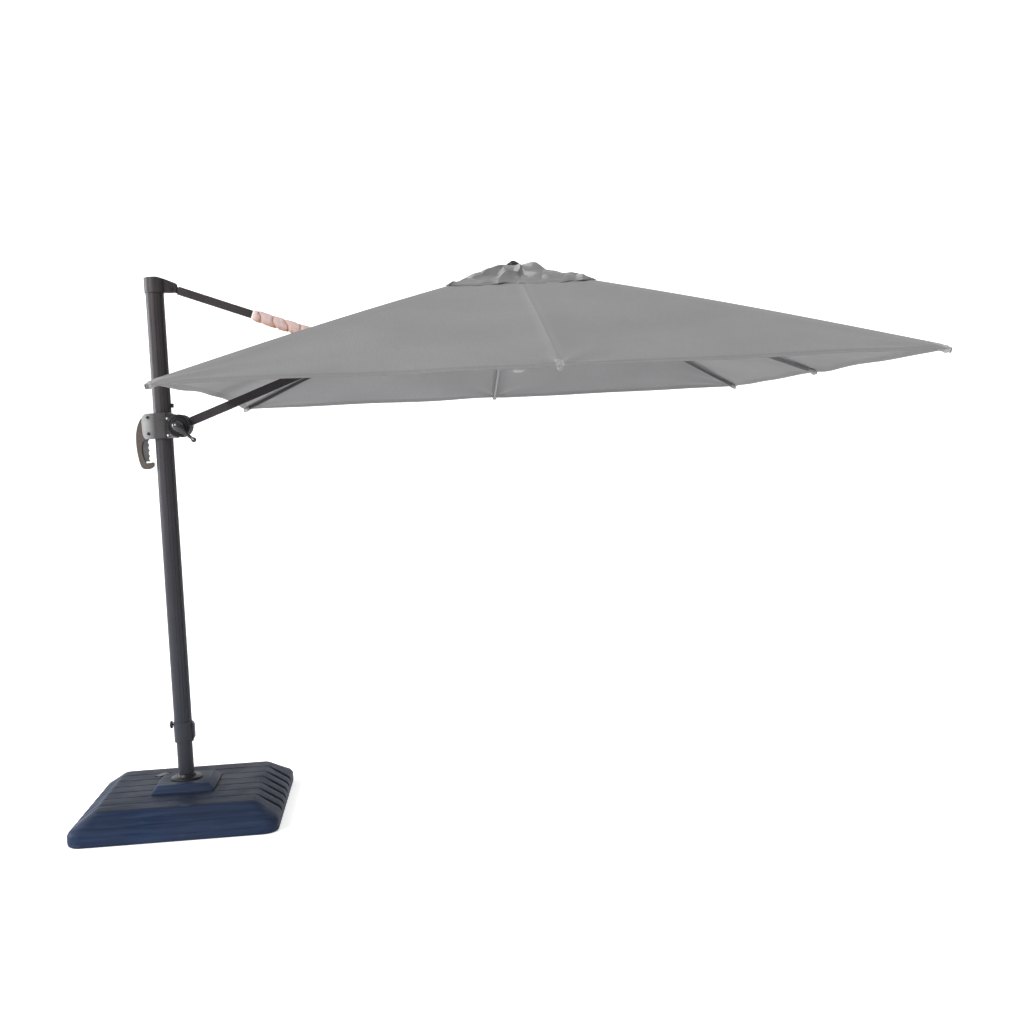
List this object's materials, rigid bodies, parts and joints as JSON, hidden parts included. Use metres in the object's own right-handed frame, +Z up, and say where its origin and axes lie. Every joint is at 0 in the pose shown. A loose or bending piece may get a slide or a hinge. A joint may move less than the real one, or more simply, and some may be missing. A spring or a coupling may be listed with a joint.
{
  "type": "cantilever parasol",
  "caption": "Square cantilever parasol: swivelling side mast on a weighted square base, stay and boom with a slider handle, folding ribs and a vented canopy.",
  "frame": {"origin": "centre of the base's underside, on the mast's axis", "axes": "+X from the mast towards the canopy's centre, +Z up, -Y towards the viewer"},
  "size_m": [3.683, 3.006, 2.584],
  "materials": {
    "base_plastic": "moulded plank-grain plastic, dark blue-grey, slightly glossy",
    "stone_fill": "cast stone ballast",
    "steel": "zinc-plated steel",
    "black_steel": "black oxide steel",
    "nylon": "natural nylon",
    "rubber": "brake rubber",
    "black_plastic": "moulded black plastic",
    "grey_plastic": "grey moulded plastic with a soft metallic sheen",
    "frame_paint": "dark grey powder-coated aluminium",
    "rib_paint": "grey powder-coated aluminium",
    "foam": "pinkish white packing foam, wound in a twist",
    "canopy_fabric": "mid grey woven polyester"
  },
  "bodies": {
    "base": {"base_shell": "base_plastic", "base_ballast": "stone_fill", "base_cross_frame": "steel", "swivel_spindle": "steel", "swivel_bush": "nylon", "swivel_housing": "base_plastic", "pedal_pin": "steel"},
    "foot_pedal": {"foot_pedal": "black_plastic"},
    "brake_shoe": {"brake_shoe": "rubber"},
    "mast": {"stub_post": "frame_paint", "brake_drum": "steel", "swivel_collar": "black_plastic", "mast_tube": "frame_paint", "mast_sleeve": "frame_paint", "mast_head": "frame_paint", "head_pin": "steel", "slider_stop": "black_plastic"},
    "mast_knob": {"mast_knob": "black_plastic"},
    "slider": {"slider_body": "grey_plastic", "slider_liner": "nylon", "slider_handle": "grey_plastic", "side_bolt_upper": "black_steel", "side_bolt_lower": "black_steel", "domed_screw_upper": "steel", "domed_screw_lower": "steel", "joint_disc_front": "black_plastic", "joint_disc_rear": "black_plastic"},
    "handle_trigger": {"handle_trigger": "black_plastic"},
    "clamp_lever": {"clamp_lever": "black_plastic"},
    "stay": {"stay_top_fitting": "frame_paint", "stay_tube": "frame_paint", "stay_fork": "frame_paint", "stay_wrap": "foam", "stay_pin": "steel"},
    "boom": {"boom_knuckle": "frame_paint", "boom_tube": "frame_paint", "boom_saddle": "frame_paint", "boom_head_fork": "frame_paint", "hub_pin": "steel"},
    "hub": {"crown_hub": "black_plastic", "canopy_post": "frame_paint", "finial": "black_plastic", "canopy": "canopy_fabric", "vent_cover": "canopy_fabric"},
    "runner": {"runner": "black_plastic"},
    "rib_near": {"rib_near": "rib_paint"},
    "rib_right": {"rib_right": "rib_paint"},
    "rib_far": {"rib_far": "rib_paint"},
    "rib_near_left": {"rib_near_left": "rib_paint"},
    "rib_near_right": {"rib_near_right": "rib_paint"},
    "rib_far_right": {"rib_far_right": "rib_paint"},
    "rib_far_left": {"rib_far_left": "rib_paint"},
    "strut_near": {"strut_near": "rib_paint"},
    "strut_right": {"strut_right": "rib_paint"},
    "strut_far": {"strut_far": "rib_paint"},
    "strut_near_left": {"strut_near_left": "rib_paint"},
    "strut_near_right": {"strut_near_right": "rib_paint"},
    "strut_far_right": {"strut_far_right": "rib_paint"},
    "strut_far_left": {"strut_far_left": "rib_paint"}
  },
  "joints": [
    {"name": "mast_swivel", "type": "hinge", "parent": "base", "child": "mast", "pos_m": [0, 0, 0.168], "axis": [0, 0, 1], "continuous": true},
    {"name": "arm_fold", "type": "hinge", "parent": "mast", "child": "stay", "pos_m": [0.08, 0, 2.514], "axis": [0, 1, 0], "range_deg": [0, 60.5]},
    {"name": "boom_turn", "type": "hinge", "parent": "stay", "child": "boom", "pos_m": [0.94925, 0, 2.189], "axis": [0, 1, 0], "range_deg": [-121, 0]},
    {"name": "hub_level", "type": "hinge", "parent": "boom", "child": "hub", "pos_m": [1.635, 0, 2.44539], "axis": [0, 1, 0], "range_deg": [0, 60.5], "deforming": ["canopy", "vent_cover"]},
    {"name": "slider_travel", "type": "slide", "parent": "mast", "child": "slider", "axis": [0, 0, -1], "range_m": [0, 1.18319]},
    {"name": "runner_drop", "type": "slide", "parent": "hub", "child": "runner", "axis": [0, 0, -1], "range_m": [0, 0.685]},
    {"name": "rib_turn_near", "type": "hinge", "parent": "hub", "child": "rib_near", "pos_m": [1.71, -0.06, 2.517], "axis": [1, 0, 0], "range_deg": [0, 65.37]},
    {"name": "strut_turn_near", "type": "hinge", "parent": "rib_near", "child": "strut_near", "pos_m": [1.71, -0.57136, 2.30316], "axis": [1, 0, 0], "range_deg": [-131.47, 0]},
    {"name": "rib_turn_right", "type": "hinge", "parent": "hub", "child": "rib_right", "pos_m": [1.77, 0, 2.517], "axis": [0, 1, 0], "range_deg": [0, 65.37]},
    {"name": "strut_turn_right", "type": "hinge", "parent": "rib_right", "child": "strut_right", "pos_m": [2.28136, 0, 2.30316], "axis": [0, 1, 0], "range_deg": [-131.47, 0]},
    {"name": "rib_turn_far", "type": "hinge", "parent": "hub", "child": "rib_far", "pos_m": [1.71, 0.06, 2.517], "axis": [-1, 0, 0], "range_deg": [0, 65.37]},
    {"name": "strut_turn_far", "type": "hinge", "parent": "rib_far", "child": "strut_far", "pos_m": [1.71, 0.57136, 2.30316], "axis": [-1, 0, 0], "range_deg": [-131.47, 0]},
    {"name": "rib_turn_near_left", "type": "hinge", "parent": "hub", "child": "rib_near_left", "pos_m": [1.66757, -0.04243, 2.517], "axis": [0.7071, -0.7071, 0], "range_deg": [0, 71.18]},
    {"name": "strut_turn_near_left", "type": "hinge", "parent": "rib_near_left", "child": "strut_near_left", "pos_m": [1.30779, -0.40221, 2.36166], "axis": [0.7071, -0.7071, 0], "range_deg": [-131.98, 0]},
    {"name": "rib_turn_near_right", "type": "hinge", "parent": "hub", "child": "rib_near_right", "pos_m": [1.75243, -0.04243, 2.517], "axis": [0.7071, 0.7071, 0], "range_deg": [0, 71.18]},
    {"name": "strut_turn_near_right", "type": "hinge", "parent": "rib_near_right", "child": "strut_near_right", "pos_m": [2.11221, -0.40221, 2.36166], "axis": [0.7071, 0.7071, 0], "range_deg": [-131.98, 0]},
    {"name": "rib_turn_far_right", "type": "hinge", "parent": "hub", "child": "rib_far_right", "pos_m": [1.75243, 0.04243, 2.517], "axis": [-0.7071, 0.7071, 0], "range_deg": [0, 71.18]},
    {"name": "strut_turn_far_right", "type": "hinge", "parent": "rib_far_right", "child": "strut_far_right", "pos_m": [2.11221, 0.40221, 2.36166], "axis": [-0.7071, 0.7071, 0], "range_deg": [-131.98, 0]},
    {"name": "rib_turn_far_left", "type": "hinge", "parent": "hub", "child": "rib_far_left", "pos_m": [1.66757, 0.04243, 2.517], "axis": [-0.7071, -0.7071, 0], "range_deg": [0, 71.18]},
    {"name": "strut_turn_far_left", "type": "hinge", "parent": "rib_far_left", "child": "strut_far_left", "pos_m": [1.30779, 0.40221, 2.36166], "axis": [-0.7071, -0.7071, 0], "range_deg": [-131.98, 0]},
    {"name": "clamp_lever_turn", "type": "hinge", "parent": "slider", "child": "clamp_lever", "pos_m": [0.08, -0.08, 1.864], "axis": [0, 1, 0], "range_deg": [-100, 30]},
    {"name": "trigger_squeeze", "type": "hinge", "parent": "slider", "child": "handle_trigger", "pos_m": [-0.086, 0, 1.818], "axis": [0, 1, 0], "range_deg": [0, 5]},
    {"name": "mast_knob_turn", "type": "hinge", "parent": "mast", "child": "mast_knob", "pos_m": [-0.055, 0, 0.432], "axis": [1, 0, 0], "continuous": true},
    {"name": "pedal_press", "type": "hinge", "parent": "base", "child": "foot_pedal", "pos_m": [-0.09959, 0.08356, 0.15], "axis": [-0.6428, -0.766, 0], "range_deg": [0, 10]},
    {"name": "shoe_travel", "type": "slide", "parent": "base", "child": "brake_shoe", "axis": [0.766, -0.6428, 0], "range_m": [0, 0.004]}
  ],
  "couplings": [
    {"joint": "boom_turn", "follows": "arm_fold", "ratio": -2},
    {"joint": "hub_level", "follows": "arm_fold", "ratio": 1},
    {"joint": "slider_travel", "follows": "arm_fold", "m_per_rad": 1.1205},
    {"joint": "runner_drop", "follows": "arm_fold", "m_per_rad": 0.64872},
    {"joint": "rib_turn_near", "follows": "arm_fold", "ratio": 1.0806},
    {"joint": "strut_turn_near", "follows": "arm_fold", "ratio": -2.1731},
    {"joint": "rib_turn_right", "follows": "arm_fold", "ratio": 1.0806},
    {"joint": "strut_turn_right", "follows": "arm_fold", "ratio": -2.1731},
    {"joint": "rib_turn_far", "follows": "arm_fold", "ratio": 1.0806},
    {"joint": "strut_turn_far", "follows": "arm_fold", "ratio": -2.1731},
    {"joint": "rib_turn_near_left", "follows": "arm_fold", "ratio": 1.1765},
    {"joint": "strut_turn_near_left", "follows": "arm_fold", "ratio": -2.1816},
    {"joint": "rib_turn_near_right", "follows": "arm_fold", "ratio": 1.1765},
    {"joint": "strut_turn_near_right", "follows": "arm_fold", "ratio": -2.1816},
    {"joint": "rib_turn_far_right", "follows": "arm_fold", "ratio": 1.1765},
    {"joint": "strut_turn_far_right", "follows": "arm_fold", "ratio": -2.1816},
    {"joint": "rib_turn_far_left", "follows": "arm_fold", "ratio": 1.1765},
    {"joint": "strut_turn_far_left", "follows": "arm_fold", "ratio": -2.1816},
    {"joint": "shoe_travel", "follows": "pedal_press", "m_per_rad": 0.022345}
  ]
}
